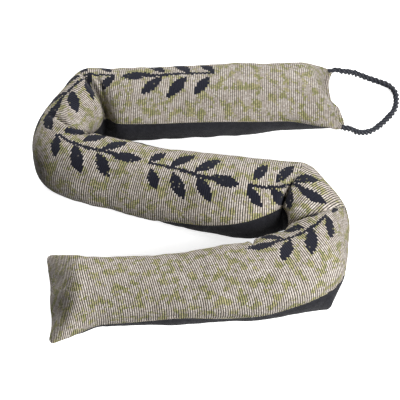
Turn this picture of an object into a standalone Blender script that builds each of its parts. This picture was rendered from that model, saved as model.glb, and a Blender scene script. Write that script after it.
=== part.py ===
"""Filled draught excluder: a long cushion tube of two cloths, lying in an S, with a yarn loop.

Units are metres, +Z is up and the floor is z = 0. The plan is centred on the filled tube.
The tube is lofted through the sections of STATIONS, from its loop end to its plain end.
In a section the angle runs from 0 at the left-hand side, seen along the tube, over 90 at the top.
It is parted along its two side seams: the upper half carries the tapestry, the lower half the
plain backing, each with its share of the filling.
"""
import math

import bpy
import numpy as np

MM = 0.001

# Driving dimensions, in millimetres and degrees.
# Roundness is the power of a section's outline: 2 is an ellipse and more is fuller at the corners
ROUNDNESS = 2.12
# How far the tube's weight flattens it onto the floor
BASE_SINK = 2.4
# How deep the side seams draw the cloth in, how wide that reaches, and the half-height
# of the tube from which they draw in full
SEAM_DRAW = 1.3
SEAM_DRAW_SPREAD = 9.0
SEAM_DRAW_FULL = 20.0
# Gap between the two halves
PART_GAP = 0.3
# Flat sewn edge of an end: thickness, depth, roundness, and how much longer than the filling-out
# the change of width is
EDGE_THICK = 4.0
FLANGE = 5.0
EDGE_ROUNDNESS = 1.7
WIDEN = 1.3

# Sections of the filled tube: centre on the floor plan, heading of the tube, width, height,
# and roll, which is how far the left-hand seam stands above the side of the tube
STATION_COLUMNS = ("x", "y", "heading", "width", "height", "roll")
STATIONS = (
    (151, 137, 186, 74, 64, 0),
    (120, 136.5, 183, 70, 66, -2),
    (62, 131, 183, 75, 71, 9),
    (9, 127, 182, 77, 72, 15),
    (-44, 124, 182, 77, 72, 16),
    (-80, 123, 185, 76, 71, 18),
    (-105, 131, 204, 67, 66, 8),
    (-117, 113, 222, 60, 67, 2),
    (-128, 90, 236, 65, 66, 20),
    (-132, 62, 270, 69, 70, 36),
    (-127, 47, 302, 70, 71, 38),
    (-112, 40, 328, 72, 72, 39),
    (-72, 28, 343, 73, 72, 39),
    (-38, 17.5, 346, 75, 73, 37),
    (-8, 10.5, 347, 78, 75, 17),
    (30, 1, 348, 82, 77, 0),
    (66, -3.5, 349, 83, 77, -17),
    (88, -1.5, 346, 78, 72, -26),
    (108, 0, 338, 73, 68, -28),
    (119.5, -18, 318, 69, 68, -22),
    (126, -32, 297, 72, 66, -18),
    (125.5, -57, 263, 69, 70, -14),
    (118.8, -79.6, 234, 82, 72, -14),
    (102.2, -94.3, 210, 86, 73, -8),
    (89.5, -98.4, 200, 85, 74, -10),
    (66.2, -105.5, 191, 81, 74, -13),
    (40, -108, 186, 78, 73, -14),
    (-10, -113, 184, 71, 67, -4),
    (-60, -115.5, 184, 69, 66, -13),
    (-100, -117, 184, 69, 66, -22),
    (-137.5, -120, 184, 70, 64, 0),
)

# Creases where the tube kinks, and with a negative depth the cloth that stands out instead:
# place as a station number, depth, width along the tube, how far the cloth leans along the tube,
# the angle of the deepest point, and the spread each way around the section
CREASES = (
    (6.0, 8.0, 8.0, -5.0, 45, 85),
    (6.0, -10.0, 13.0, 0.0, 320, 45),
    (8.0, 7.0, 9.0, 0.0, 45, 120),
    (18.0, 8.0, 8.0, -4.0, 150, 95),
    (20.0, 6.0, 9.0, 0.0, 140, 100),
    (22.5, -11.0, 9.0, 0.0, 314, 50),
    (24.9, 3.0, 4.0, 0.0, 150, 50),
)
LEAN_REACH = 16.0

# Sewn ends: distance over which the end fills out, half-width and height of the flat edge,
# and how far its corners stand out
LOOP_END = {"fill": 42.0, "half_width": 41.0, "height": 27.0, "ear": 5.0}
PLAIN_END = {"fill": 38.0, "half_width": 54.0, "height": 25.0, "ear": 3.0}

# Steps of the loft, closer at the bends, the creases and the ends
RUN_STEP = 12.0
BEND_STEP = 5.5
BENDS = ((5, 12), (17, 25))
END_STEPS = (0.0, 3.0, 6.0, 8.0, 11.0, 15.0, 20.0, 27.0, 35.0, 45.0)
CREASE_STEPS = (-7.5, -4.5, -2.0, 0.0, 2.0, 4.5, 7.5)
CREASE_CLEAR = 9.0
FACE_STEPS = 13
BACK_STEPS = 10
PARTING_STEPS = 4

# Yarn loop of twisted strands: thickness, length of one turn of the twist, height of a strand
LOOP_DIAMETER = 5.6
LOOP_STRANDS = 3
LOOP_LAY = 16.0
LOOP_LOBE = 0.16
LOOP_STEP = 1.35
LOOP_AROUND = 9

# Route of the loop's middle: from the rear corner of the end, down to the floor, round and up
LOOP_ROUTE = (
    (152.9, 177.5, 28.0),
    (155.5, 177.0, 27.0),
    (160.5, 177.2, 25.0),
    (167.0, 179.5, 21.0),
    (174.0, 182.3, 16.0),
    (182.4, 183.3, 10.5),
    (191.5, 182.7, 6.0),
    (199.5, 181.3, 3.6),
    (208.0, 177.8, 3.4),
    (215.2, 172.7, 3.4),
    (219.4, 165.0, 3.4),
    (220.1, 155.5, 3.4),
    (219.0, 146.5, 3.4),
    (215.6, 138.0, 3.4),
    (209.6, 129.8, 3.4),
    (202.2, 121.3, 3.4),
    (193.5, 113.0, 4.2),
    (184.0, 106.3, 8.0),
    (175.0, 102.0, 14.5),
    (168.5, 100.2, 21.5),
    (163.0, 99.0, 26.5),
)


def clear_scene():
    for item in list(bpy.data.objects):
        bpy.data.objects.remove(item, do_unlink=True)


def make_material(name, colour, roughness):
    material = bpy.data.materials.new(name)
    material.use_nodes = True
    shader = material.node_tree.nodes["Principled BSDF"]
    shader.inputs["Base Color"].default_value = (*colour, 1.0)
    shader.inputs["Roughness"].default_value = roughness
    shader.inputs["Metallic"].default_value = 0.0
    material.diffuse_color = (*colour, 1.0)
    return material


def column(table, columns, name):
    return np.array([row[columns.index(name)] for row in table], dtype=float)


def station_lengths():
    """Distance of each station along the tube's centre line."""
    x = column(STATIONS, STATION_COLUMNS, "x")
    y = column(STATIONS, STATION_COLUMNS, "y")
    return np.concatenate([[0.0], np.cumsum(np.hypot(np.diff(x), np.diff(y)))])


def smooth_through(knots, values, at):
    """Smooth cubic curve through the values, which stand at uneven knots."""
    steps = np.diff(knots)
    slopes = np.diff(values) / steps
    tangents = np.empty(len(values))
    tangents[0] = slopes[0]
    tangents[-1] = slopes[-1]
    before = slopes[:-1]
    after = slopes[1:]
    tangents[1:-1] = (before * steps[1:] + after * steps[:-1]) / (steps[1:] + steps[:-1])
    cell = np.clip(np.searchsorted(knots, at) - 1, 0, len(steps) - 1)
    h = steps[cell]
    t = (at - knots[cell]) / h
    rise = values[cell + 1] - values[cell]
    start = tangents[cell] * h
    finish = tangents[cell + 1] * h
    return values[cell] + start * t + (3 * rise - 2 * start - finish) * t ** 2 + (
        start + finish - 2 * rise) * t ** 3


def station_values(at):
    """Every column of the stations, read at distances along the tube."""
    knots = station_lengths()
    return {name: smooth_through(knots, column(STATIONS, STATION_COLUMNS, name), at)
            for name in STATION_COLUMNS}


def ease(t):
    t = np.clip(t, 0.0, 1.0)
    return t * t * (3.0 - 2.0 * t)


def signed_power(value, power):
    return np.sign(value) * np.abs(value) ** power


def angle_between(a, b):
    return np.abs((a - b + 180.0) % 360.0 - 180.0)


def end_shape(end, distance):
    """How full the tube is, and how far it has widened to its sewn edge, near one end."""
    t = np.clip((distance - FLANGE) / (end["fill"] - FLANGE), 0.0, 1.0)
    full = np.sqrt(1.0 - (1.0 - t) ** 2)
    open_out = 1.0 - ease(distance / (end["fill"] * WIDEN))
    return full, open_out


def tube_points(at, angle):
    """Points of the tube's surface, in millimetres, for arrays of distance and angle."""
    total = station_lengths()[-1]
    row = station_values(at)
    half_width = row["width"] / 2
    half_height = row["height"] / 2 + BASE_SINK / 2
    middle = row["height"] - half_height
    along = np.zeros_like(at)
    roundness = np.full_like(at, ROUNDNESS)
    side = np.cos(np.radians(angle))
    rise = np.sin(np.radians(angle))
    for end, distance in ((LOOP_END, at), (PLAIN_END, total - at)):
        full, open_out = end_shape(end, distance)
        half_width = half_width + (end["half_width"] - half_width) * open_out
        thin = EDGE_THICK / 2
        half_height = thin + (half_height - thin) * full
        middle = end["height"] + (middle - end["height"]) * full
        outward = -1.0 if end is LOOP_END else 1.0
        roundness = roundness + (EDGE_ROUNDNESS - roundness) * open_out
        along = along + outward * open_out ** 2 * end["ear"] * side ** 4
    rounding = 2.0 / roundness
    across = half_width * signed_power(side, rounding)
    up = half_height * signed_power(rise, rounding)
    knots = station_lengths()
    for station, depth, reach, lean, centre, spread in CREASES:
        offset = at - np.interp(station, np.arange(len(knots)), knots)
        around = np.cos(np.clip(angle_between(angle, centre) / spread, 0, 1) * math.pi / 2) ** 2
        pinch = depth * around * np.exp(-np.abs(offset) / reach)
        along = along + lean * around * np.exp(-(offset / LEAN_REACH) ** 2)
        size = np.hypot(across, up)
        across = across * (1 - pinch / size)
        up = up * (1 - pinch / size)
    for seam in (row["roll"], row["roll"] + 180.0):
        draw = SEAM_DRAW * np.exp(-(angle_between(angle, seam) / SEAM_DRAW_SPREAD) ** 2)
        draw = draw * np.minimum(1.0, half_height / SEAM_DRAW_FULL)
        size = np.hypot(across, up)
        across = across * (1 - draw / size)
        up = up * (1 - draw / size)
    heading = np.radians(row["heading"])
    x = row["x"] - np.sin(heading) * across + np.cos(heading) * along
    y = row["y"] + np.cos(heading) * across + np.sin(heading) * along
    z = np.maximum(middle + up, 0.0)
    return np.stack([x, y, z], axis=-1)


def loft_places():
    """Distances along the tube at which it has a section: closer at the bends, creases and ends."""
    knots = station_lengths()
    total = knots[-1]
    places = list(END_STEPS)
    while places[-1] < total - END_STEPS[-1] - RUN_STEP / 2:
        here = places[-1]
        in_bend = any(knots[first] < here < knots[last] for first, last in BENDS)
        places.append(here + (BEND_STEP if in_bend else RUN_STEP))
    places[-1] = total - END_STEPS[-1]
    places += [total - step for step in reversed(END_STEPS[:-1])]
    places = np.array(places)
    steps = np.array(CREASE_STEPS)
    for station, *_ in CREASES:
        crease = np.interp(station, np.arange(len(knots)), knots)
        clear = np.abs(places - crease) > CREASE_CLEAR
        places = np.sort(np.concatenate([places[clear], crease + steps]))
    return places


def add_mesh(name, points, faces, material):
    mesh = bpy.data.meshes.new(name)
    mesh.from_pydata([tuple(point) for point in points], [], faces)
    mesh.update()
    mesh.materials.append(material)
    item = bpy.data.objects.new(name, mesh)
    bpy.context.scene.collection.objects.link(item)
    for polygon in mesh.polygons:
        polygon.use_smooth = True
    return item


def loft_faces(rings, size, cut):
    """Triangles between rings of points; cut says which way each pair of them is parted."""
    faces = []
    for ring in range(rings - 1):
        for i in range(size):
            j = (i + 1) % size
            low = ring * size
            high = low + size
            if cut == "rising":
                faces += [(low + i, low + j, high + j), (low + i, high + j, high + i)]
            else:
                faces += [(low + i, low + j, high + i), (low + j, high + j, high + i)]
    return faces


def cap_faces(start, arc_steps, size, outward):
    """Triangles that close one end of a panel, between its outer arc and its parting line."""
    arc = [start + i for i in range(arc_steps + 1)]
    line = [start] + [start + i for i in range(size - 1, arc_steps - 1, -1)]
    faces = []
    i = 0
    j = 0
    while i < len(arc) - 1 or j < len(line) - 1:
        if j == len(line) - 1 or (i + 1) * (len(line) - 1) <= (j + 1) * (len(arc) - 1):
            face = (arc[i], arc[i + 1], line[j])
            i += 1
        else:
            face = (arc[i], line[j + 1], line[j])
            j += 1
        if len(set(face)) == 3:
            faces.append(face if outward else face[::-1])
    return faces


def panel_points(places, first, steps, lift):
    """Rings of one panel with its share of the filling: its outer arc, then the parting line."""
    rings = []
    rolls = station_values(places)["roll"]
    turns = np.linspace(180.0, 0.0, PARTING_STEPS + 1)[1:-1]
    for place, roll in zip(places, rolls):
        angles = roll + first + np.linspace(0.0, 180.0, steps + 1)
        arc = tube_points(np.full(steps + 1, place), angles)
        here = np.full(len(turns), place)
        one_side = tube_points(here, roll + first + turns)
        other_side = tube_points(here, roll + first - turns)
        ring = np.vstack([arc, (one_side + other_side) / 2])
        chord = arc[-1] - arc[0]
        normal = np.cross(np.cross(chord, (0.0, 0.0, 1.0)), chord)
        shift = normal / np.linalg.norm(normal) * lift
        ring[0] += shift
        ring[steps:] += shift
        rings.append(ring)
    return np.concatenate(rings), len(rings[0])


def curve_through(points, step):
    """Points a step apart on a smooth curve through the route's points."""
    points = np.array(points, dtype=float)
    knots = np.concatenate([[0.0], np.cumsum(np.linalg.norm(np.diff(points, axis=0), axis=1))])
    count = int(round(knots[-1] / step)) + 1
    at = np.linspace(0.0, knots[-1], count)
    return at, np.stack([smooth_through(knots, points[:, axis], at) for axis in range(3)], axis=1)


def loop_points():
    """Rings of the yarn loop: a lobe for each strand, turning along the route."""
    at, middle = curve_through(LOOP_ROUTE, LOOP_STEP)
    tangent = np.gradient(middle, axis=0)
    tangent /= np.linalg.norm(tangent, axis=1)[:, None]
    across = np.cross((0.0, 0.0, 1.0), tangent)
    across /= np.linalg.norm(across, axis=1)[:, None]
    upward = np.cross(tangent, across)
    radius = LOOP_DIAMETER / 2
    rings = []
    for i in range(len(at)):
        turn = 2 * math.pi * at[i] / LOOP_LAY
        around = 2 * math.pi * np.arange(LOOP_AROUND) / LOOP_AROUND
        reach = radius * (1 + LOOP_LOBE * np.cos(LOOP_STRANDS * around))
        side = reach * np.cos(around + turn)
        rise = reach * np.sin(around + turn)
        rings.append(middle[i] + side[:, None] * across[i] + rise[:, None] * upward[i])
    return np.concatenate(rings), LOOP_AROUND


def main():
    clear_scene()
    cloths = {
        "tapestry": make_material("tapestry", (0.52, 0.47, 0.38), 0.9),
        "backing": make_material("backing", (0.02, 0.02, 0.026), 0.85),
        "yarn": make_material("yarn", (0.015, 0.017, 0.025), 0.9),
    }
    places = loft_places()
    panels = {
        "tapestry_panel": (0.0, FACE_STEPS, PART_GAP / 2, "rising", "tapestry"),
        "backing_panel": (180.0, BACK_STEPS, -PART_GAP / 2, "falling", "backing"),
    }
    pieces = {}
    for name, (first, steps, lift, cut, cloth) in panels.items():
        points, size = panel_points(places, first, steps, lift)
        last = len(points) - size
        faces = loft_faces(len(places), size, cut)
        faces += cap_faces(0, steps, size, False)
        faces += cap_faces(last, steps, size, True)
        pieces[name] = (points, faces, cloth)
    tube = np.concatenate([points for points, faces, cloth in pieces.values()])
    centre = (tube.min(axis=0) + tube.max(axis=0)) / 2 * (1.0, 1.0, 0.0)
    points, size = loop_points()
    last = len(points) - size
    faces = loft_faces(len(points) // size, size, "falling")
    faces.append(tuple(reversed(range(size))))
    faces.append(tuple(range(last, last + size)))
    pieces["loop"] = (points, faces, "yarn")
    for name, (points, faces, cloth) in pieces.items():
        add_mesh(name, (points - centre) * MM, faces, cloths[cloth])


main()
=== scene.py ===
"""Look of a filled draught excluder that lies in an S: ribbed woven face, dark backing, yarn loop.

Metres, +Z up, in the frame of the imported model. The tube's surface is worked out again here from the
solids' table of sections, much finer and with the folds, puckers and sewn edges of the cloth. The
tables are in millimetres and degrees, with x and y as in the solids' own tables.
"""
import math

import bpy
import numpy as np
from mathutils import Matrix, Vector


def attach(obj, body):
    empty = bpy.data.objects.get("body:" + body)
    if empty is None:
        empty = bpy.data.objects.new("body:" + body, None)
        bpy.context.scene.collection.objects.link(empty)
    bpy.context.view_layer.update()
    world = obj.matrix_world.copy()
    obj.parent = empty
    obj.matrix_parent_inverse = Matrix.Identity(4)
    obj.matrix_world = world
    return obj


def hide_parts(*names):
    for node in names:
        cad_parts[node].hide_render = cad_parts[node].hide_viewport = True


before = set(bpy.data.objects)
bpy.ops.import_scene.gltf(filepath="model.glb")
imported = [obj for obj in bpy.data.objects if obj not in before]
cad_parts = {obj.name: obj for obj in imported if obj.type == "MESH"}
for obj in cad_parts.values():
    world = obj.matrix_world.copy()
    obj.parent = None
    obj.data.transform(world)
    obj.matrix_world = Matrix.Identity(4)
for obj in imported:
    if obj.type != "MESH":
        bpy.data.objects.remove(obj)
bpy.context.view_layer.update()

MM = 0.001
# The middle of the filled tube's plan box, in the tables' millimetres
PLAN_CENTRE = (-2.5050, 2.1103, 0.0)

# Camera: the point it looks at and its distance, in metres, its height in degrees, and its lens
AIM = (0.009, 0.0, 0.03)
AIM_DISTANCE = 2.6
ELEVATION = 53.0
MM_PER_PIXEL = 1.03
PICTURE = 400
SENSOR = 36.0
CLIP = (0.05, 20.0)

# Roundness is the power of a section's outline: 2 is an ellipse and more is fuller at the corners
ROUNDNESS = 2.12
# How far the tube's weight flattens it onto the floor
BASE_SINK = 2.4
# How deep the side seams draw the cloth in, over how many degrees, and the half-height of the tube from
# which they draw in full
SEAM_DRAW = 1.3
SEAM_DRAW_SPREAD = 9.0
SEAM_DRAW_FULL = 20.0
# Gap between the two halves
PART_GAP = 0.3

# Sections of the filled tube, from the loop to the plain end: centre on the floor plan, heading of the
# tube, width, height, and roll, which is how far the left-hand seam stands above the side of the tube.
# Only here is there a section just before the plain end, and rolls that follow the photograph more
# closely at the outside of the right bend and near the two ends
STATION_COLUMNS = ("x", "y", "heading", "width", "height", "roll")
STATIONS = (
    (151, 137, 186, 74, 64, -7),
    (120, 136.5, 183, 70, 66, -2),
    (62, 131, 183, 75, 71, 9),
    (9, 127, 182, 77, 72, 15),
    (-44, 124, 182, 77, 72, 16),
    (-80, 123, 185, 76, 71, 18),
    (-105, 131, 204, 67, 66, 8),
    (-117, 113, 222, 60, 67, 2),
    (-128, 90, 236, 65, 66, 20),
    (-132, 62, 270, 69, 70, 36),
    (-127, 47, 302, 70, 71, 38),
    (-112, 40, 328, 72, 72, 39),
    (-72, 28, 343, 73, 72, 39),
    (-38, 17.5, 346, 75, 73, 37),
    (-8, 10.5, 347, 78, 75, 17),
    (30, 1, 348, 82, 77, 0),
    (66, -3.5, 349, 83, 77, -17),
    (88, -1.5, 346, 78, 72, -26),
    (108, 0, 338, 73, 68, -28),
    (119.5, -18, 318, 69, 68, -22),
    (126, -32, 297, 72, 66, -18),
    (125.5, -57, 263, 69, 70, -9),
    (118.8, -79.6, 234, 82, 72, -2),
    (102.2, -94.3, 210, 86, 73, 4),
    (89.5, -98.4, 200, 85, 74, -1),
    (66.2, -105.5, 191, 81, 74, -9),
    (40, -108, 186, 78, 73, -14),
    (-10, -113, 184, 71, 67, -4),
    (-60, -115.5, 184, 69, 66, -13),
    (-100, -117, 184, 69, 66, -22),
    (-124, -119, 184, 69.6, 65, -21),
    (-137.5, -120, 184, 70, 64, 0),
)

# Creases across the tube, at places given as station numbers: depth, how far it fades before and beyond
# the crease's line, how far the cloth leans over, and the middle and spread of the crease's angles
# around the tube. A negative depth stands out
CREASE_COLUMNS = ("station", "depth", "before", "beyond", "lean", "centre", "spread")
CREASES = (
    (6.0, 6.5, 3.0, 8.0, -5.0, 45, 85),
    (6.0, -10.0, 13.0, 13.0, 0.0, 320, 45),
    (8.0, 7.0, 9.0, 9.0, 0.0, 45, 120),
    (18.0, 6.5, 7.0, 7.0, -4.0, 150, 95),
    (20.0, 6.0, 9.0, 9.0, 0.0, 140, 100),
    (22.5, -11.0, 9.0, 9.0, 0.0, 314, 50),
    (24.9, 3.0, 4.0, 4.0, 0.0, 150, 50),
)
# How far from a crease its lean fades
LEAN_REACH = 16.0

# Line that a crease takes over the tube: pairs of an angle around it and the distance beyond the station
CREASE_LINES = {
    6.0: ((5, 0.0), (35, 7.0), (95, 7.5), (144, 2.0), (180, 0.0)),
    8.0: ((-20, 0.0), (16, -4.0), (50, 20.0), (72, 25.0), (85, 20.0), (100, 14.0), (138, 7.5), (180, 0.0)),
    18.0: ((0, -2.0), (180, -2.0)),
    20.0: ((-20, 0.0), (31, 5.0), (82, 10.0), (119, 14.0), (160, 7.0), (200, 0.0)),
}

# Ridges in the cloth beside the creases, and with a negative height the furrows in them
FOLD_COLUMNS = ("station", "beyond", "height", "width", "centre", "spread")
FOLDS = (
    (6.0, 0.0, -2.2, 1.9, 66, 80),
    (6.0, 7.0, 1.8, 6.0, 66, 80),
    (6.0, -8.0, 1.5, 3.2, 85, 70),
    (6.0, -14.5, -1.3, 3.0, 95, 60),
    (6.0, -20.0, 0.9, 3.2, 90, 55),
    (8.0, 0.0, -4.2, 2.1, 65, 105),
    (8.0, 7.0, 4.0, 5.0, 60, 110),
    (8.0, -8.0, 1.2, 4.0, 60, 60),
    (18.0, 0.0, -2.2, 1.8, 125, 85),
    (18.0, 7.0, 2.6, 6.0, 125, 90),
    (18.0, -9.0, 1.5, 4.5, 130, 60),
    (18.0, -19.0, -1.5, 4.5, 130, 60),
    (20.0, 0.0, -3.2, 1.9, 115, 95),
    (20.0, 8.0, 2.6, 7.0, 125, 100),
    (24.9, 0.0, -2.2, 1.8, 150, 40),
    (24.9, 5.5, 1.4, 3.0, 150, 40),
    (24.9, -5.5, 1.4, 3.0, 150, 40),
)

# Sewn ends: the thickness and roundness of their flat edge. Then for each end, its flat flange, where the
# tube is full, how soon it fills (0 steep at first, 1 evenly), how far from the edge its right and left
# sides change their width, the edge's half-width and height, how far its ears run out, the radius of its
# corners, and how far it waves outwards at shares of its half-width
EDGE_THICK = 4.0
EDGE_ROUNDNESS = 1.7
LOOP_END = {
    "flange": 5.0, "fill": 42.0, "soon": 0.0, "widen": (54.6, 54.6),
    "half_width": 42.0, "height": 27.0, "ear": 5.0, "corner": 6.0,
    "wave": ((-1.0, 2.0), (-0.6, -2.5), (0.0, -3.0), (0.15, -3.0), (0.38, 3.2), (0.6, 4.6),
             (0.85, 4.0), (1.0, 0.0)),
}
PLAIN_END = {
    "flange": 0.5, "fill": 28.5, "soon": 0.95, "widen": (38.0, 49.4),
    "half_width": 54.0, "height": 25.0, "ear": 3.0, "corner": 6.0,
    "wave": ((-1.0, 3.2), (-0.75, 4.0), (-0.3, 3.2), (0.2, 4.2), (0.6, 3.0), (1.0, 5.0)),
}

# Lumps of the filling, as the height and the two lengths of each size of lump
LUMP_COLUMNS = ("height", "along", "around")
LUMPS = (
    (1.0, 34.0, 30.0),
    (0.6, 15.0, 17.0),
    (0.27, 6.5, 9.0),
)

# Puckers along the side seams: height, how far from the seam they fade and how soon beside it they
# start, the lengths of the coarse and of the fine ones, and the fine ones' share and reach inwards
PUCKER_HEIGHT = 0.75
PUCKER_REACH = 6.5
PUCKER_START = 1.5
PUCKER_LENGTHS = (6.0, 3.4)
PUCKER_FINE = 0.6
PUCKER_INWARDS = 30.0

# How far from the seams and from the ends the cloth's relief comes to its full height
SEAM_FADE = 4.0
END_FADE = 14.0
# Cells along each side of the noise, which repeats after them
NOISE_CELLS = 64

# Heading across the woven ribs, at station numbers: it jumps where a fold swallows cloth
WEAVE = (
    (0.0, 186.0), (0.5, 185.0), (1.0, 183.5), (1.7, 180.0), (2.3, 178.0), (3.0, 175.5),
    (5.99, 173.5), (6.01, 224.0), (7.0, 236.0), (7.99, 244.0), (8.01, 324.0), (9.5, 328.0), (11.0, 333.0),
    (12.0, 338.0), (13.0, 341.0), (14.0, 342.5), (15.0, 345.0), (16.0, 352.0), (17.2, 362.0),
    (17.99, 368.0), (18.01, 322.0), (19.99, 328.0), (20.01, 228.0), (21.0, 216.0), (22.0, 209.0),
    (23.0, 207.0), (25.0, 205.5), (26.0, 203.0), (27.0, 199.5), (28.0, 196.0), (29.0, 192.5),
    (30.0, 187.0),
)
# Creases where it jumps, how far from each its slanting line counts as straight, how firmly the weave
# holds across it, and the limits of the weave's pull elsewhere
WEAVE_CUTS = (6.0, 8.0, 18.0, 20.0)
WEAVE_REACH = 30.0
CUT_HOLD = 0.01
PULL_LIMITS = (0.05, 20.0)
# How firmly the weave keeps to its first guess, and the rounds that lay it flat
FIT_HOLD = 1e-5
FIT_ROUNDS = 700
# Keeps a length that is divided by from being zero
TINY = 1e-6

# Fineness of the cloth meshes: distance between rows, reach and number of the closer rows at each end,
# steps over each cloth and over the parting surface, and the seeds of the cloths' lumps
ALONG_STEP = 1.5
END_REACH = 12.0
END_ROWS = 26
FACE_STEPS = 96
BACK_STEPS = 64
PARTING_STEPS = 32
FACE_SEED = 11
BACK_SEED = 29

# Yarn loop: its route starts and ends inside the corners of the end seam
LOOP_DIAMETER = 5.6
LOOP_ROUTE = (
    (146.5, 174.6, 27.0),
    (155.5, 177.0, 27.0),
    (160.5, 177.2, 25.0),
    (167.0, 179.5, 21.0),
    (174.0, 182.3, 16.0),
    (182.4, 183.3, 10.5),
    (191.5, 182.7, 6.0),
    (199.5, 181.3, 3.6),
    (208.0, 177.8, 3.4),
    (215.2, 172.7, 3.4),
    (219.4, 165.0, 3.4),
    (220.1, 155.5, 3.4),
    (219.0, 146.5, 3.4),
    (215.6, 138.0, 3.4),
    (209.6, 129.8, 3.4),
    (202.2, 121.3, 3.4),
    (193.5, 113.0, 4.2),
    (184.0, 106.3, 8.0),
    (175.0, 102.0, 14.5),
    (168.5, 100.2, 21.5),
    (158.3, 98.2, 27.0),
)
LOOP_STEP = 0.45
LOOP_SIDES = 60
# Strands: how many, the length of one turn, and their offset and radius as shares of the loop's radius
STRANDS = 3
STRAND_LAY = 16.0
STRAND_OFFSET = 0.56
STRAND_RADIUS = 0.54
# Plies and fibres on the strands: depth as a share of the loop's radius, how many, the length of a ply's
# turn, and the fibres' turn in radians for each millimetre
PLY_DEPTH = 0.05
PLIES = 5
PLY_LAY = 2.6
FIBRE_DEPTH = 0.03
FIBRES = 3
FIBRE_TURN = 2.1
# Thickness of the loop as a share of its diameter: mean, unevenness and its length, and the thin start
LOOP_GIRTH = 1.07
LOOP_UNEVEN = 0.17
LOOP_UNEVEN_LENGTH = 5.0
LOOP_SEED = 51
LOOP_THIN = 0.74
LOOP_THIN_REACH = 30.0

# Weave of the face: pitches of the ribs and of the threads along them, and how far the ribs wander. The
# layers pick the chances, from 0 to 1, that each thread and each rib gets
RIB_PITCH = 2.16
PICK_PITCH = 1.5
WANDER = 1.3
WANDER_SCALE = 45.0
WANDER_DETAIL = 2.0
THREAD_LAYERS = (0.0, 7.3)
RIB_LAYER = 3.1
# Spans of chance over which a thread changes to cream, to the palest tone or to ochre, a rib to taupe,
# and a thread of a sprig to a paler one, with the share of the last two
CREAM_SPAN = (-0.3, 0.8)
PALE_SPAN = (0.5, 1.3)
OCHRE_SPAN = (0.3, 0.8)
TAUPE_RIB_SPAN = (0.6, 1.0)
TAUPE_RIB_SHARE = 0.25
SPECKLE_SPAN = (0.95, 1.0)
SPECKLE_SHARE = 0.6
# Olive blotches: scale and detail of their noise, unevenness and span of their edge, and strength
BLOTCH_SCALE = 0.105
BLOTCH_DETAIL = 1.5
BLOTCH_JITTER = 0.15
BLOTCH_EDGE = (0.505, 0.595)
BLOTCH_STRENGTH = 0.85
# Dark grooves between the ribs: unevenness and span of their edge. On the run with the loop their contrast is
# evened, a share of the way to their mean, and that fades over a span of the cloth
GROOVE_JITTER = 0.16
GROOVE_EDGE = (0.42, 0.80)
GROOVE_MEAN = 0.52
EVENED_SPAN = (190.0, 280.0)
EVENED = 0.40
# Broad change of tone over the face: scale and span of its noise, and the two tones
TONE_SCALE = 9.0
TONE_SPAN = (0.25, 0.75)
TONES = (0.90, 1.06)
# Fine relief of the face beside the ribs: the threads' backs, and fuzz with the scale of its noise
PICK_RELIEF = 0.35
FUZZ_RELIEF = 0.35
FUZZ_SCALE = 1600.0
CREAM = (0.60, 0.535, 0.475, 1.0)
PALE = (0.74, 0.69, 0.64, 1.0)
TAUPE = (0.40, 0.34, 0.285, 1.0)
GREEN = (0.27, 0.28, 0.085, 1.0)
OCHRE = (0.42, 0.38, 0.16, 1.0)
WARP = (0.035, 0.033, 0.028, 1.0)
NAVY = (0.013, 0.014, 0.023, 1.0)

# Leaf sprig woven into the face, in millimetres and degrees from its own middle. It repeats along the
# cloth from a start, mirrored each time, and its stem sways
LEAF_COLUMNS = ("along", "across", "half_length", "half_width", "lean")
LEAVES = (
    (37.0, 2.5, 15.5, 6.0, 10.0),
    (19.0, 14.5, 15.0, 5.8, 50.0),
    (17.0, -12.5, 15.0, 5.8, -44.0),
    (-7.0, 16.0, 15.5, 6.2, 56.0),
    (-10.0, -15.0, 15.5, 6.2, -50.0),
    (-33.0, 13.5, 13.0, 5.4, 58.0),
    (-37.0, -13.5, 12.0, 5.0, -52.0),
)
SPRIG_LENGTH = 104.0
SPRIG_START = 118.0
SPRIGS = 6
STEM_HALF_WIDTH = 1.9
STEM_HALF_LENGTH = 38.0
STEM_MIDDLE = -6.0
STEM_SWAY = 3.0
STEM_WAVE = 0.045

# Backing: pitch of its plain weave and how far that shades it, its slubs, its broad change of tone, and
# its colours
BACKING_PITCH = 0.8
WEAVE_SHADE = 0.06
SLUB_SCALE = 260.0
SLUB_SPAN = (0.3, 0.75)
SLUB_RELIEF = 1.5
BROAD_SCALE = 14.0
BROAD_SPAN = (0.35, 0.7)
BROAD_SHARE = 0.4
BACKING_DARK = (0.012, 0.012, 0.0145, 1.0)
BACKING_LIGHT = (0.0225, 0.0225, 0.028, 1.0)
BACKING_BROAD = (0.024, 0.024, 0.031, 1.0)

# Yarn: the noise of its fibres, the span over which they turn paler, and its colours
YARN_SCALE = 900.0
YARN_DETAIL = 4.0
YARN_ROUGHNESS = 0.7
YARN_SPAN = (0.3, 0.75)
YARN_DARK = (0.008, 0.009, 0.014, 1.0)
YARN_LIGHT = (0.038, 0.042, 0.056, 1.0)

# Plain values of each material's surface, with the depth of its fine relief in metres
LOOK_COLUMNS = ("roughness", "specular", "sheen", "sheen_roughness", "bump", "bump_depth")
TAPESTRY_LOOK = (0.92, 0.10, 0.05, 0.55, 0.8, 0.0005)
BACKING_LOOK = (0.85, 0.12, 0.05, 0.5, 0.5, 0.00025)
YARN_LOOK = (0.9, 0.2, 0.25, 0.5, 0.9, 0.0005)

# Places of a Mix node's share and two colours among its inputs, and of its colour among its outputs
MIX_INPUTS = (0, 6, 7)
MIX_OUTPUT = 2

# Soft lights: azimuth and height in degrees, power in watts, and distance and size in metres
LIGHT_COLUMNS = ("name", "azimuth", "height", "power")
LIGHTS = (
    ("window", 318.0, 31.0, 74.0),
    ("back_window", 102.0, 34.0, 58.5),
)
LIGHT_DISTANCE = 2.2
LIGHT_SIZE = 1.1
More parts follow.
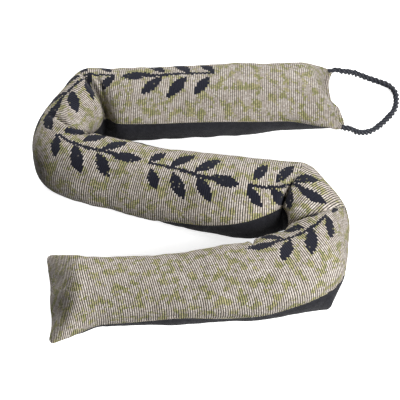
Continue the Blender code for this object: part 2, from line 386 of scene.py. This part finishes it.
# Even light from all sides, and the floor: half its width and how far it lies under the part, in
# metres, and its surface, which glows a little
WHITE = (1.0, 1.0, 1.0, 1.0)
SKY_STRENGTH = 0.08
FLOOR_HALF = 6.0
FLOOR_DROP = 0.0005
FLOOR_COLOUR = (0.93, 0.93, 0.93, 1.0)
FLOOR_ROUGHNESS = 0.9
FLOOR_SPECULAR = 0.1
FLOOR_GLOW = 0.8


def rows(columns, table):
    """The table's rows, each with its columns' names."""
    return [dict(zip(columns, row)) for row in table]


def place_camera():
    """The camera looks from the front, down at the photograph's angle."""
    aim = Vector(AIM) - Vector(PLAN_CENTRE) * MM
    tilt = math.radians(ELEVATION)
    data = bpy.data.cameras.new("camera")
    camera = bpy.data.objects.new("camera", data)
    bpy.context.scene.collection.objects.link(camera)
    camera.location = aim + Vector((0.0, -math.cos(tilt), math.sin(tilt))) * AIM_DISTANCE
    camera.rotation_euler = (math.pi / 2 - tilt, 0.0, 0.0)
    data.sensor_width = SENSOR
    data.sensor_fit = "HORIZONTAL"
    focal_pixels = AIM_DISTANCE / (MM_PER_PIXEL * MM)
    data.lens = focal_pixels * SENSOR / PICTURE
    data.clip_start, data.clip_end = CLIP
    bpy.context.scene.camera = camera


def ease(t):
    t = np.clip(t, 0.0, 1.0)
    return t * t * (3.0 - 2.0 * t)


def signed_power(value, power):
    return np.sign(value) * np.abs(value) ** power


def angle_between(a, b):
    return np.abs((a - b + 180.0) % 360.0 - 180.0)


def fade_around(angle, centre, spread):
    """From 1 at an angle around the tube down to 0 at a spread from it."""
    return np.cos(np.clip(angle_between(angle, centre) / spread, 0, 1) * math.pi / 2) ** 2


def smooth_through(knots, values, at):
    """Smooth cubic curve through the values, which stand at uneven knots."""
    steps = np.diff(knots)
    slopes = np.diff(values) / steps
    tangents = np.empty(len(values))
    tangents[0] = slopes[0]
    tangents[-1] = slopes[-1]
    before = slopes[:-1]
    after = slopes[1:]
    tangents[1:-1] = (before * steps[1:] + after * steps[:-1]) / (steps[1:] + steps[:-1])
    cell = np.clip(np.searchsorted(knots, at) - 1, 0, len(steps) - 1)
    h = steps[cell]
    t = (at - knots[cell]) / h
    rise = values[cell + 1] - values[cell]
    start = tangents[cell] * h
    finish = tangents[cell + 1] * h
    square = (3 * rise - 2 * start - finish) * t ** 2
    cube = (start + finish - 2 * rise) * t ** 3
    return values[cell] + start * t + square + cube


def lattice_noise(x, y, seed):
    """Soft noise from -1 to 1 over a plane, one lattice cell for each unit."""
    table = np.random.default_rng(seed).uniform(-1.0, 1.0, (NOISE_CELLS, NOISE_CELLS))
    x0 = np.floor(x).astype(int)
    y0 = np.floor(y).astype(int)
    fx = ease(x - x0)
    fy = ease(y - y0)
    corner = [[table[(x0 + i) % NOISE_CELLS, (y0 + j) % NOISE_CELLS] for j in (0, 1)] for i in (0, 1)]
    low = corner[0][0] * (1 - fx) + corner[1][0] * fx
    high = corner[0][1] * (1 - fx) + corner[1][1] * fx
    return low * (1 - fy) + high * fy


def station_column(name):
    place = STATION_COLUMNS.index(name)
    return np.array([row[place] for row in STATIONS], dtype=float)


def station_lengths():
    """Distance of each station along the tube's middle line."""
    steps = np.hypot(np.diff(station_column("x")), np.diff(station_column("y")))
    return np.concatenate([[0.0], np.cumsum(steps)])


def station_place(number):
    """Distance along the tube of a place given as a station number."""
    knots = station_lengths()
    return np.interp(number, np.arange(len(knots)), knots)


def station_values(at):
    """Every column of the stations, read at distances along the tube."""
    knots = station_lengths()
    return {name: smooth_through(knots, station_column(name), at) for name in STATION_COLUMNS}


def end_shape(end, distance, side):
    """How full the tube is, and how far it has widened to its sewn edge, near one end."""
    t = np.clip((distance - end["flange"]) / (end["fill"] - end["flange"]), 0.0, 1.0)
    steep = np.sqrt(1.0 - (1.0 - t) ** 2)
    even = np.sin(t * math.pi / 2)
    full = steep * (1.0 - end["soon"]) + even * end["soon"]
    right, left = end["widen"]
    open_out = 1.0 - ease(distance / (right + (left - right) * ease(side / 2 + 0.5)))
    return full, open_out


def seam_run(end, share):
    """How far an end's sewn edge runs outwards, over the signed share of its half-width."""
    into_corner = (np.abs(share) - 1.0) * end["half_width"] / end["corner"] + 1.0
    rounded = 1.0 - np.sqrt(1.0 - np.clip(into_corner, 0.0, 1.0) ** 2)
    wave = np.array(end["wave"])
    waved = smooth_through(wave[:, 0], wave[:, 1], np.clip(share, -1.0, 1.0))
    return end["ear"] * share ** 4 - end["corner"] * rounded + waved


def crease_shift(station, angle):
    """How far beyond its station a crease lies at angles around the tube."""
    if station not in CREASE_LINES:
        return np.zeros_like(angle)
    line = np.array(CREASE_LINES[station])
    return np.interp((angle + 90.0) % 360.0 - 90.0, line[:, 0], line[:, 1])


def drawn_in(across, up, depth):
    """A section's points, moved towards its middle by a depth."""
    size = np.hypot(across, up)
    return across * (1 - depth / size), up * (1 - depth / size)


def tube_points(at, angle):
    """Points of the tube's surface for arrays of distance and angle: 0 is its left, 90 its top."""
    row = station_values(at)
    half_width = row["width"] / 2
    half_height = row["height"] / 2 + BASE_SINK / 2
    middle = row["height"] - half_height
    along = np.zeros_like(at)
    roundness = np.full_like(at, ROUNDNESS)
    side = np.cos(np.radians(angle))
    rise = np.sin(np.radians(angle))
    thin = EDGE_THICK / 2
    total = station_lengths()[-1]
    for end, distance, outward in ((LOOP_END, at, -1.0), (PLAIN_END, total - at, 1.0)):
        full, open_out = end_shape(end, distance, side)
        half_width = half_width + (end["half_width"] - half_width) * open_out
        half_height = thin + (half_height - thin) * full
        middle = end["height"] + (middle - end["height"]) * full
        roundness = roundness + (EDGE_ROUNDNESS - roundness) * open_out
        along = along + outward * open_out ** 2 * seam_run(end, side)
    across = half_width * signed_power(side, 2.0 / roundness)
    up = half_height * signed_power(rise, 2.0 / roundness)
    for crease in rows(CREASE_COLUMNS, CREASES):
        offset = at - station_place(crease["station"]) - crease_shift(crease["station"], angle)
        around = fade_around(angle, crease["centre"], crease["spread"])
        reach = np.where(offset < 0.0, crease["before"], crease["beyond"])
        along = along + crease["lean"] * around * np.exp(-(offset / LEAN_REACH) ** 2)
        across, up = drawn_in(across, up, crease["depth"] * around * np.exp(-np.abs(offset) / reach))
    for seam in (row["roll"], row["roll"] + 180.0):
        draw = SEAM_DRAW * np.exp(-(angle_between(angle, seam) / SEAM_DRAW_SPREAD) ** 2)
        across, up = drawn_in(across, up, draw * np.minimum(1.0, half_height / SEAM_DRAW_FULL))
    heading = np.radians(row["heading"])
    x = row["x"] - np.sin(heading) * across + np.cos(heading) * along
    y = row["y"] + np.cos(heading) * across + np.sin(heading) * along
    return np.stack([x, y, np.maximum(middle + up, 0.0)], axis=-1)


def row_places():
    """Distances along the tube of the grid's rows: even, but close where an end fills out."""
    total = station_lengths()[-1]
    near = []
    for end in (LOOP_END, PLAIN_END):
        t = np.linspace(-math.sqrt(end["flange"] / END_REACH), 1.0, END_ROWS)
        near.append(end["flange"] + END_REACH * t * np.abs(t))
    first, last = near
    count = int(round((total - first[-1] - last[-1]) / ALONG_STEP)) + 1
    between = np.linspace(first[-1], total - last[-1], count)
    return np.concatenate([first[:-1], between, total - last[-2::-1]])


def cloth_grid(first, steps):
    """A fine grid of one cloth's surface: distances along the tube, angles, and points."""
    places = row_places()
    at = places[:, None] + np.zeros((1, steps + 1))
    turn = np.linspace(0.0, 180.0, steps + 1)[None, :] + np.zeros((len(places), 1))
    roll = station_values(places)["roll"][:, None]
    angle = roll + first + turn
    return at, angle, tube_points(at, angle)


def parting_grid(at, angle):
    """Points of the surface between the two seams, halfway between the two cloths."""
    turns = np.linspace(180.0, 0.0, PARTING_STEPS + 1)[None, 1:-1]
    here = at[:, :1] + np.zeros_like(turns)
    return (tube_points(here, angle[:, :1] + turns) + tube_points(here, angle[:, :1] - turns)) / 2


def surface_normals(grid):
    """Outward normals of a grid whose rows run along the tube and whose columns run around it."""
    ahead = np.gradient(grid, axis=0)
    around = np.gradient(grid, axis=1)
    normal = np.cross(around, ahead)
    return normal / np.maximum(np.linalg.norm(normal, axis=2), TINY)[..., None]


def arc_lengths(grid):
    """How far each point of a grid lies around the tube from its row's first point."""
    arc = np.cumsum(np.linalg.norm(np.diff(grid, axis=1), axis=2), axis=1)
    return np.concatenate([np.zeros((len(arc), 1)), arc], axis=1)


def fold_relief(at, angle):
    """Ridges and furrows of the folds."""
    out = np.zeros_like(at)
    for fold in rows(FOLD_COLUMNS, FOLDS):
        offset = at - station_place(fold["station"]) - fold["beyond"] - crease_shift(fold["station"], angle)
        around = fade_around(angle, fold["centre"], fold["spread"])
        out += fold["height"] * around * np.exp(-(offset / fold["width"]) ** 2)
    return out


def relief(at, angle, grid, seed):
    """How far the cloth stands out of its plain form, in millimetres: lumps, folds and seam puckers."""
    arc = arc_lengths(grid)
    to_seam = np.minimum(arc, arc[:, -1:] - arc)
    to_end = np.minimum(at, station_lengths()[-1] - at)
    out = fold_relief(at, angle)
    for number, lump in enumerate(rows(LUMP_COLUMNS, LUMPS)):
        out += lump["height"] * lattice_noise(at / lump["along"], arc / lump["around"], seed + number)
    coarse, fine = PUCKER_LENGTHS
    seed += len(LUMPS)
    ripple = lattice_noise(at / coarse, np.full_like(arc, 0.5), seed)
    ripple += PUCKER_FINE * lattice_noise(at / fine, arc / PUCKER_INWARDS, seed + 1)
    out += PUCKER_HEIGHT * ripple * np.exp(-to_seam / PUCKER_REACH) * ease(to_seam / PUCKER_START)
    return out * ease(to_seam / SEAM_FADE) * ease(to_end / END_FADE)


def spread_to_fit(guess, ahead, around, pull_ahead, pull_around):
    """The values whose differences along both ways of a grid come nearest to those asked for."""

    def gather(flow_ahead, flow_around):
        out = np.zeros_like(guess)
        out[1:] += flow_ahead
        out[:-1] -= flow_ahead
        out[:, 1:] += flow_around
        out[:, :-1] -= flow_around
        return out

    def apply(values):
        pulled = gather(pull_ahead * np.diff(values, axis=0), pull_around * np.diff(values, axis=1))
        return pulled + FIT_HOLD * values

    weight = np.full_like(guess, FIT_HOLD)
    weight[1:] += pull_ahead
    weight[:-1] += pull_ahead
    weight[:, 1:] += pull_around
    weight[:, :-1] += pull_around
    wanted = gather(pull_ahead * ahead, pull_around * around) + FIT_HOLD * guess
    values = guess.copy()
    left = wanted - apply(values)
    scaled = left / weight
    move = scaled.copy()
    size = (left * scaled).sum()
    for _ in range(FIT_ROUNDS):
        pushed = apply(move)
        share = size / (move * pushed).sum()
        values += share * move
        left -= share * pushed
        scaled = left / weight
        fresh = (left * scaled).sum()
        move = scaled + fresh / size * move
        size = fresh
    return values


def weave_stations(at, angle):
    """The station number of each point, with the creases' slanting lines taken as straight ones."""
    knots = station_lengths()
    moved = at.copy()
    for crease in WEAVE_CUTS:
        shift = crease_shift(crease, angle)
        from_crease = at - station_place(crease) - shift
        moved -= shift * np.exp(-(from_crease / WEAVE_REACH) ** 2)
    return np.interp(moved, knots, np.arange(len(knots)))


def weave_pulls(grid, station):
    """How firmly neighbouring points of the cloth hold together, along the tube and around it."""
    long_ahead = np.linalg.norm(np.diff(grid, axis=0), axis=2) + TINY
    long_around = np.linalg.norm(np.diff(grid, axis=1), axis=2) + TINY
    reach_around = np.pad(long_around, ((0, 0), (1, 1)), mode="edge")
    reach_around = (reach_around[:, 1:] + reach_around[:, :-1]) / 2
    reach_ahead = np.pad(long_ahead, ((1, 1), (0, 0)), mode="edge")
    reach_ahead = (reach_ahead[1:] + reach_ahead[:-1]) / 2
    ahead = np.clip((reach_around[1:] + reach_around[:-1]) / 2 / long_ahead, *PULL_LIMITS)
    around = np.clip((reach_ahead[:, 1:] + reach_ahead[:, :-1]) / 2 / long_around, *PULL_LIMITS)
    for cut in WEAVE_CUTS:
        beyond = station > cut
        ahead = np.where(beyond[1:] != beyond[:-1], CUT_HOLD * ahead, ahead)
        around = np.where(beyond[:, 1:] != beyond[:, :-1], CUT_HOLD * around, around)
    return ahead, around


def weave_coordinates(at, angle, grid):
    """Where each point lies on the flat cloth, in millimetres: across the ribs, and along them."""
    station = weave_stations(at, angle)
    table = np.array(WEAVE)
    heading = np.radians(np.interp(station, table[:, 0], table[:, 1]))
    normal = surface_normals(grid)
    ahead = np.stack([np.cos(heading), np.sin(heading), np.zeros_like(heading)], axis=2)
    ahead = ahead - (ahead * normal).sum(axis=2)[..., None] * normal
    ahead /= np.maximum(np.linalg.norm(ahead, axis=2), TINY)[..., None]
    left = np.cross(normal, ahead)
    pulls = weave_pulls(grid, station)
    arc = arc_lengths(grid)
    middle = grid.shape[1] // 2
    found = []
    for field, guess in ((ahead, at), (left, arc[:, middle:middle + 1] - arc)):
        field_ahead = (field[1:] + field[:-1]) / 2
        field_around = (field[:, 1:] + field[:, :-1]) / 2
        wanted_ahead = (field_ahead * np.diff(grid, axis=0)).sum(axis=2)
        wanted_around = (field_around * np.diff(grid, axis=1)).sum(axis=2)
        found.append(spread_to_fit(guess, wanted_ahead, wanted_around, *pulls))
    return found


def ring_faces(rings, size):
    """Four-sided faces between neighbouring rings of points."""
    ring, place = np.meshgrid(np.arange(rings - 1), np.arange(size), indexing="ij")
    after = (place + 1) % size
    low = ring * size
    high = low + size
    faces = np.stack([low + place, low + after, high + after, high + place], axis=2)
    return [tuple(face) for face in faces.reshape(-1, 4).tolist()]


def cap_faces(columns, start, backwards):
    """Small faces that close one end between the cloth's edge and the parting surface."""
    share = (columns - 1) // PARTING_STEPS
    size = columns + PARTING_STEPS - 1
    faces = []
    for step in range(PARTING_STEPS):
        ring = list(range(step * share, (step + 1) * share + 1))
        ring += [(size - step - 1) % size, (size - step) % size]
        ring = list(dict.fromkeys(ring))
        if backwards:
            ring.reverse()
        faces.append(tuple(start + place for place in ring))
    return faces


def packed(points):
    """Points of the tables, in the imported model's metres."""
    return (points - np.array(PLAN_CENTRE)) * MM


def new_object(name, points, faces, material):
    mesh = bpy.data.meshes.new(name)
    mesh.from_pydata(packed(points).tolist(), [], faces)
    mesh.materials.append(material)
    mesh.shade_smooth()
    item = bpy.data.objects.new(name, mesh)
    bpy.context.scene.collection.objects.link(item)
    return item


def lay_cloth(mesh, flat, size):
    """Writes where each point of the mesh lies on the flat cloth, in metres."""
    layer = mesh.uv_layers.new(name="cloth")
    corners = np.zeros(len(mesh.loops), dtype=np.int32)
    mesh.loops.foreach_get("vertex_index", corners)
    sides = []
    for values in flat:
        hidden = np.repeat(values[:, -1:], size - values.shape[1], axis=1)
        sides.append(np.concatenate([values, hidden], axis=1).ravel()[corners])
    layer.data.foreach_set("uv", (np.stack(sides, axis=1) * MM).ravel().astype(np.float32))


def make_cloth(name, first, steps, lift, seed, material, fitted):
    """One half of the filled tube: its cloth, and the parting surface that closes it."""
    at, angle, grid = cloth_grid(first, steps)
    grid = grid + surface_normals(grid) * relief(at, angle, grid, seed)[..., None]
    grid[..., 2] = np.maximum(grid[..., 2], 0.0)
    if fitted:
        flat = weave_coordinates(at, angle, grid)
    else:
        flat = (at, arc_lengths(grid))
    chord = grid[:, -1] - grid[:, 0]
    normal = np.cross(np.cross(chord, (0.0, 0.0, 1.0)), chord)
    shift = normal / np.linalg.norm(normal, axis=1)[:, None] * lift
    grid[:, 0] += shift
    grid[:, -1] += shift
    rings = np.concatenate([grid, parting_grid(at, angle) + shift[:, None]], axis=1)
    count, size = rings.shape[:2]
    faces = ring_faces(count, size)
    faces += cap_faces(steps + 1, 0, True)
    faces += cap_faces(steps + 1, (count - 1) * size, False)
    item = new_object(name, rings.reshape(-1, 3), faces, material)
    lay_cloth(item.data, flat, size)
    return item


def curve_through(points, step):
    """Points a step apart on a smooth curve through the route's points."""
    points = np.array(points, dtype=float)
    knots = np.concatenate([[0.0], np.cumsum(np.linalg.norm(np.diff(points, axis=0), axis=1))])
    count = int(round(knots[-1] / step)) + 1
    at = np.linspace(0.0, knots[-1], count)
    return at, np.stack([smooth_through(knots, points[:, axis], at) for axis in range(3)], axis=1)


def loop_girths(at):
    """The loop's thickness along it, as a share of its diameter: uneven, and thin where it starts."""
    uneven = LOOP_UNEVEN * lattice_noise(at / LOOP_UNEVEN_LENGTH, np.full_like(at, 0.5), LOOP_SEED)
    return (LOOP_GIRTH + uneven) * (LOOP_THIN + (1.0 - LOOP_THIN) * ease(at / LOOP_THIN_REACH))


def make_loop(material):
    """The yarn loop, of strands laid round each other with small plies on them, and its middle line."""
    at, middle = curve_through(LOOP_ROUTE, LOOP_STEP)
    tangent = np.gradient(middle, axis=0)
    tangent /= np.linalg.norm(tangent, axis=1)[:, None]
    across = np.cross((0.0, 0.0, 1.0), tangent)
    across /= np.linalg.norm(across, axis=1)[:, None]
    upward = np.cross(tangent, across)
    full_turn = 2 * math.pi
    around = full_turn * np.arange(LOOP_SIDES) / LOOP_SIDES
    radius = LOOP_DIAMETER / 2
    offset = STRAND_OFFSET * radius
    strand = STRAND_RADIUS * radius
    lobe = full_turn / STRANDS
    local = (around + lobe / 2) % lobe - lobe / 2
    outline = offset * np.cos(local) + np.sqrt(strand ** 2 - (offset * np.sin(local)) ** 2)
    girths = loop_girths(at)
    rings = []
    for i in range(len(at)):
        turned = around + full_turn * at[i] / STRAND_LAY
        ply = PLY_DEPTH * radius * np.cos(PLIES * local + full_turn * at[i] / PLY_LAY)
        fibre = FIBRE_DEPTH * radius * np.sin(FIBRES * around + at[i] * FIBRE_TURN)
        reach = (outline + ply + fibre) * girths[i]
        side = reach * np.cos(turned)
        rise = reach * np.sin(turned)
        rings.append(middle[i] + side[:, None] * across[i] + rise[:, None] * upward[i])
    points = np.concatenate(rings)
    points[:, 2] = np.maximum(points[:, 2], 0.0)
    faces = ring_faces(len(at), LOOP_SIDES)
    faces.append(tuple(range(LOOP_SIDES - 1, -1, -1)))
    faces.append(tuple(range((len(at) - 1) * LOOP_SIDES, len(at) * LOOP_SIDES)))
    return new_object("loop_yarn", points, faces, material), packed(middle)


class Signal:
    """A socket of a material's nodes, which the usual operators join to more nodes."""

    def __init__(self, graph, socket):
        self.graph = graph
        self.socket = socket

    def __add__(self, other):
        return self.graph.math("ADD", self, other)

    def __sub__(self, other):
        return self.graph.math("SUBTRACT", self, other)

    def __rsub__(self, other):
        return self.graph.math("SUBTRACT", other, self)

    def __mul__(self, other):
        return self.graph.math("MULTIPLY", self, other)

    def __truediv__(self, other):
        return self.graph.math("DIVIDE", self, other)


class Graph:
    """Short names for building a material's nodes."""

    def __init__(self, name):
        self.material = bpy.data.materials.new(name)
        self.material.use_nodes = True
        self.tree = self.material.node_tree
        self.shader = self.tree.nodes["Principled BSDF"]

    def node(self, kind, **settings):
        node = self.tree.nodes.new(kind)
        for key, value in settings.items():
            setattr(node, key, value)
        return node

    def put(self, socket, value):
        if isinstance(value, Signal):
            self.tree.links.new(value.socket, socket)
        else:
            socket.default_value = value

    def filled(self, node, values, output=0):
        """The output of a node whose first inputs get the values."""
        for socket, value in zip(node.inputs, values):
            self.put(socket, value)
        return Signal(self, node.outputs[output])

    def math(self, operation, *values):
        return self.filled(self.node("ShaderNodeMath", operation=operation), values)

    def combine(self, x, y, z=0.0):
        return self.filled(self.node("ShaderNodeCombineXYZ"), (x, y, z))

    def grey(self, tone):
        return self.filled(self.node("ShaderNodeCombineColor"), (tone, tone, tone))

    def between(self, value, low, high, to_low=0.0, to_high=1.0):
        node = self.node("ShaderNodeMapRange", interpolation_type="SMOOTHSTEP", clamp=True)
        return self.filled(node, (value, low, high, to_low, to_high))

    def mix(self, share, first, second, mode="MIX"):
        node = self.node("ShaderNodeMix", data_type="RGBA", blend_type=mode)
        for place, value in zip(MIX_INPUTS, (share, first, second)):
            self.put(node.inputs[place], value)
        return Signal(self, node.outputs[MIX_OUTPUT])

    def noise(self, vector, scale, detail=3.0, roughness=0.5):
        node = self.node("ShaderNodeTexNoise")
        self.put(node.inputs["Vector"], vector)
        node.inputs["Scale"].default_value = scale
        node.inputs["Detail"].default_value = detail
        node.inputs["Roughness"].default_value = roughness
        return Signal(self, node.outputs["Fac"])

    def chance(self, x, y, layer):
        """A chance from 0 to 1 for each pair of whole numbers, other ones in each layer."""
        node = self.node("ShaderNodeTexWhiteNoise", noise_dimensions="3D")
        self.put(node.inputs["Vector"], self.combine(x, y, layer))
        return Signal(self, node.outputs["Value"])

    def object_place(self):
        return Signal(self, self.node("ShaderNodeTexCoord").outputs["Object"])

    def cloth_place(self):
        """Where a point lies on the flat cloth, in millimetres."""
        flat = Signal(self, self.node("ShaderNodeUVMap", uv_map="cloth").outputs[0])
        split = self.node("ShaderNodeSeparateXYZ")
        self.put(split.inputs[0], flat)
        return [Signal(self, split.outputs[axis]) * (1.0 / MM) for axis in (0, 1)]

    def finish(self, colour, relief_height, look):
        """Joins the colour and the fine relief to the shader, with the look's plain values."""
        values = dict(zip(LOOK_COLUMNS, look))
        bump = self.node("ShaderNodeBump")
        bump.inputs["Strength"].default_value = values["bump"]
        bump.inputs["Distance"].default_value = values["bump_depth"]
        self.put(bump.inputs["Height"], relief_height)
        inputs = self.shader.inputs
        self.put(inputs["Normal"], Signal(self, bump.outputs[0]))
        self.put(inputs["Base Color"], colour)
        inputs["Roughness"].default_value = values["roughness"]
        inputs["Specular IOR Level"].default_value = values["specular"]
        inputs["Sheen Weight"].default_value = values["sheen"]
        inputs["Sheen Roughness"].default_value = values["sheen_roughness"]
        return self.material


def sprig_mask(g, rib_number, pick_number):
    """1 on the woven leaf sprigs, in steps of one rib and one thread, and 0 beside them."""
    step_u = (rib_number + 0.5) * RIB_PITCH
    step_v = (pick_number + 0.5) * PICK_PITCH
    sprig = (step_u - SPRIG_START) / SPRIG_LENGTH
    along = (g.math("FRACT", sprig) - 0.5) * SPRIG_LENGTH
    flip = 1.0 - g.math("MODULO", g.math("FLOOR", sprig), 2.0) * 2.0
    across = step_v * flip
    bend = g.math("SINE", along * STEM_WAVE) * STEM_SWAY
    stem = STEM_HALF_WIDTH - g.math("ABSOLUTE", across - bend)
    reach = STEM_HALF_LENGTH - g.math("ABSOLUTE", along - STEM_MIDDLE)
    shape = g.math("MINIMUM", stem, reach)
    for leaf in rows(LEAF_COLUMNS, LEAVES):
        turn = math.radians(leaf["lean"])
        a = along - leaf["along"]
        b = across - leaf["across"]
        share = (a * math.cos(turn) + b * math.sin(turn)) / leaf["half_length"]
        wide = b * math.cos(turn) - a * math.sin(turn)
        room = leaf["half_width"] - share * share * leaf["half_width"]
        shape = g.math("MAXIMUM", shape, room - g.math("ABSOLUTE", wide))
    last = SPRIG_START + SPRIGS * SPRIG_LENGTH
    in_span = g.math("GREATER_THAN", step_u, SPRIG_START) * g.math("LESS_THAN", step_u, last)
    return g.math("GREATER_THAN", shape, 0.0) * in_span


def thread_colours(g, u, v, chances, rib_chance):
    """Cream, taupe and pale threads, and in soft blotches the olive ones that come to the face."""
    chance, other_chance = chances
    blotch = g.noise(g.combine(u, v), BLOTCH_SCALE, BLOTCH_DETAIL)
    olive = g.between(blotch + (chance - 0.5) * BLOTCH_JITTER, *BLOTCH_EDGE)
    threads = g.mix(g.between(chance, *CREAM_SPAN), TAUPE, CREAM)
    threads = g.mix(g.between(other_chance, *PALE_SPAN), threads, PALE)
    olive_threads = g.mix(g.between(other_chance, *OCHRE_SPAN), GREEN, OCHRE)
    threads = g.mix(olive * BLOTCH_STRENGTH, threads, olive_threads)
    return g.mix(g.between(rib_chance, *TAUPE_RIB_SPAN) * TAUPE_RIB_SHARE, threads, TAUPE)


def warp_cover(g, u, rib_round, chance):
    """How far the ribs' threads hide the dark warp in the grooves, more evenly on the run with the loop."""
    cover = g.between(rib_round + (chance - 0.5) * GROOVE_JITTER, *GROOVE_EDGE)
    # Over the run with the loop the grooves' contrast is evened a share of the way to its mean
    evened = g.between(u, *EVENED_SPAN, EVENED, 0.0)
    return cover + evened * (GROOVE_MEAN - cover)


def tapestry_material():
    """Ribs of cream, taupe and olive threads over a dark warp, with near-black leaf sprigs."""
    g = Graph("tapestry_weave")
    u, v = g.cloth_place()
    place = g.object_place()

    # Which rib and which thread a point is on, how high on their round backs, and their colours
    rib = (u + (g.noise(place, WANDER_SCALE, WANDER_DETAIL) - 0.5) * WANDER) / RIB_PITCH
    rib_number = g.math("FLOOR", rib)
    pick = v / PICK_PITCH + g.math("MODULO", rib_number, 2.0) * 0.5
    pick_number = g.math("FLOOR", pick)
    rib_round = g.math("SINE", g.math("FRACT", rib) * math.pi)
    pick_round = g.math("SINE", g.math("FRACT", pick) * math.pi)
    chances = [g.chance(rib_number, pick_number, layer) for layer in THREAD_LAYERS]
    threads = thread_colours(g, u, v, chances, g.chance(rib_number, 0.0, RIB_LAYER))
    ground = g.mix(warp_cover(g, u, rib_round, chances[1]), WARP, threads)

    # Sprigs with a few paler threads, and a broad change of tone over all
    speckle = g.between(chances[0], *SPECKLE_SPAN, 1.0, SPECKLE_SHARE)
    colour = g.mix(sprig_mask(g, rib_number, pick_number) * speckle, ground, NAVY)
    tone = g.between(g.noise(place, TONE_SCALE), *TONE_SPAN, *TONES)
    colour = g.mix(1.0, colour, g.grey(tone), "MULTIPLY")
    height = rib_round + pick_round * PICK_RELIEF + g.noise(place, FUZZ_SCALE) * FUZZ_RELIEF
    return g.finish(colour, height, TAPESTRY_LOOK)


def backing_material():
    """Near-black plain weave with slubs and a faint broad change of tone."""
    g = Graph("backing_cloth")
    place = g.object_place()
    warp, weft = [g.math("SINE", side * (2 * math.pi / BACKING_PITCH)) for side in g.cloth_place()]
    weave = warp * weft
    slub = g.noise(place, SLUB_SCALE)
    colour = g.mix(g.between(slub + weave * WEAVE_SHADE, *SLUB_SPAN), BACKING_DARK, BACKING_LIGHT)
    broad = g.between(g.noise(place, BROAD_SCALE), *BROAD_SPAN)
    colour = g.mix(broad * BROAD_SHARE, colour, BACKING_BROAD)
    return g.finish(colour, weave + slub * SLUB_RELIEF, BACKING_LOOK)


def yarn_material():
    """Near-black yarn with paler fibres."""
    g = Graph("loop_yarn")
    fibre = g.noise(g.object_place(), YARN_SCALE, YARN_DETAIL, YARN_ROUGHNESS)
    colour = g.mix(g.between(fibre, *YARN_SPAN), YARN_DARK, YARN_LIGHT)
    return g.finish(colour, fibre, YARN_LOOK)


def make_floor():
    """A plain near-white floor just under the part, which throws no light back on it."""
    corners = [(x * FLOOR_HALF, y * FLOOR_HALF, -FLOOR_DROP) for x, y in ((-1, -1), (1, -1), (1, 1), (-1, 1))]
    mesh = bpy.data.meshes.new("floor")
    mesh.from_pydata(corners, [], [(0, 1, 2, 3)])
    material = bpy.data.materials.new("floor_white")
    material.use_nodes = True
    shader = material.node_tree.nodes["Principled BSDF"]
    shader.inputs["Base Color"].default_value = FLOOR_COLOUR
    shader.inputs["Roughness"].default_value = FLOOR_ROUGHNESS
    shader.inputs["Specular IOR Level"].default_value = FLOOR_SPECULAR
    shader.inputs["Emission Color"].default_value = WHITE
    shader.inputs["Emission Strength"].default_value = FLOOR_GLOW
    mesh.materials.append(material)
    floor = bpy.data.objects.new("floor", mesh)
    bpy.context.scene.collection.objects.link(floor)
    floor.visible_diffuse = False


def make_light(name, azimuth, height, power):
    """A soft square light that looks at the middle of the floor."""
    around = math.radians(azimuth)
    lift = math.radians(height)
    flat = math.cos(lift)
    towards = Vector((flat * math.cos(around), flat * math.sin(around), math.sin(lift)))
    data = bpy.data.lights.new(name, "AREA")
    data.shape = "SQUARE"
    data.size = LIGHT_SIZE
    data.energy = power
    item = bpy.data.objects.new(name, data)
    bpy.context.scene.collection.objects.link(item)
    item.location = towards * LIGHT_DISTANCE
    item.rotation_euler = (-towards).to_track_quat("-Z", "Y").to_euler()


def make_stage():
    make_floor()
    world = bpy.data.worlds.new("studio")
    world.use_nodes = True
    background = world.node_tree.nodes["Background"]
    background.inputs["Color"].default_value = WHITE
    background.inputs["Strength"].default_value = SKY_STRENGTH
    bpy.context.scene.world = world
    for light in rows(LIGHT_COLUMNS, LIGHTS):
        make_light(**light)


place_camera()
loop, loop_path = make_loop(yarn_material())
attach(loop, "root")
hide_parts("loop")

face = make_cloth("face_cloth", 0.0, FACE_STEPS, PART_GAP / 2, FACE_SEED, tapestry_material(), True)
back = make_cloth("back_cloth", 180.0, BACK_STEPS, -PART_GAP / 2, BACK_SEED, backing_material(), False)
for piece, node, slot in ((face, "tapestry_panel", "tapestry"), (back, "backing_panel", "backing")):
    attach(piece, "root")
    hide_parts(node)

make_stage()
bpy.context.scene.view_settings.view_transform = "Standard"
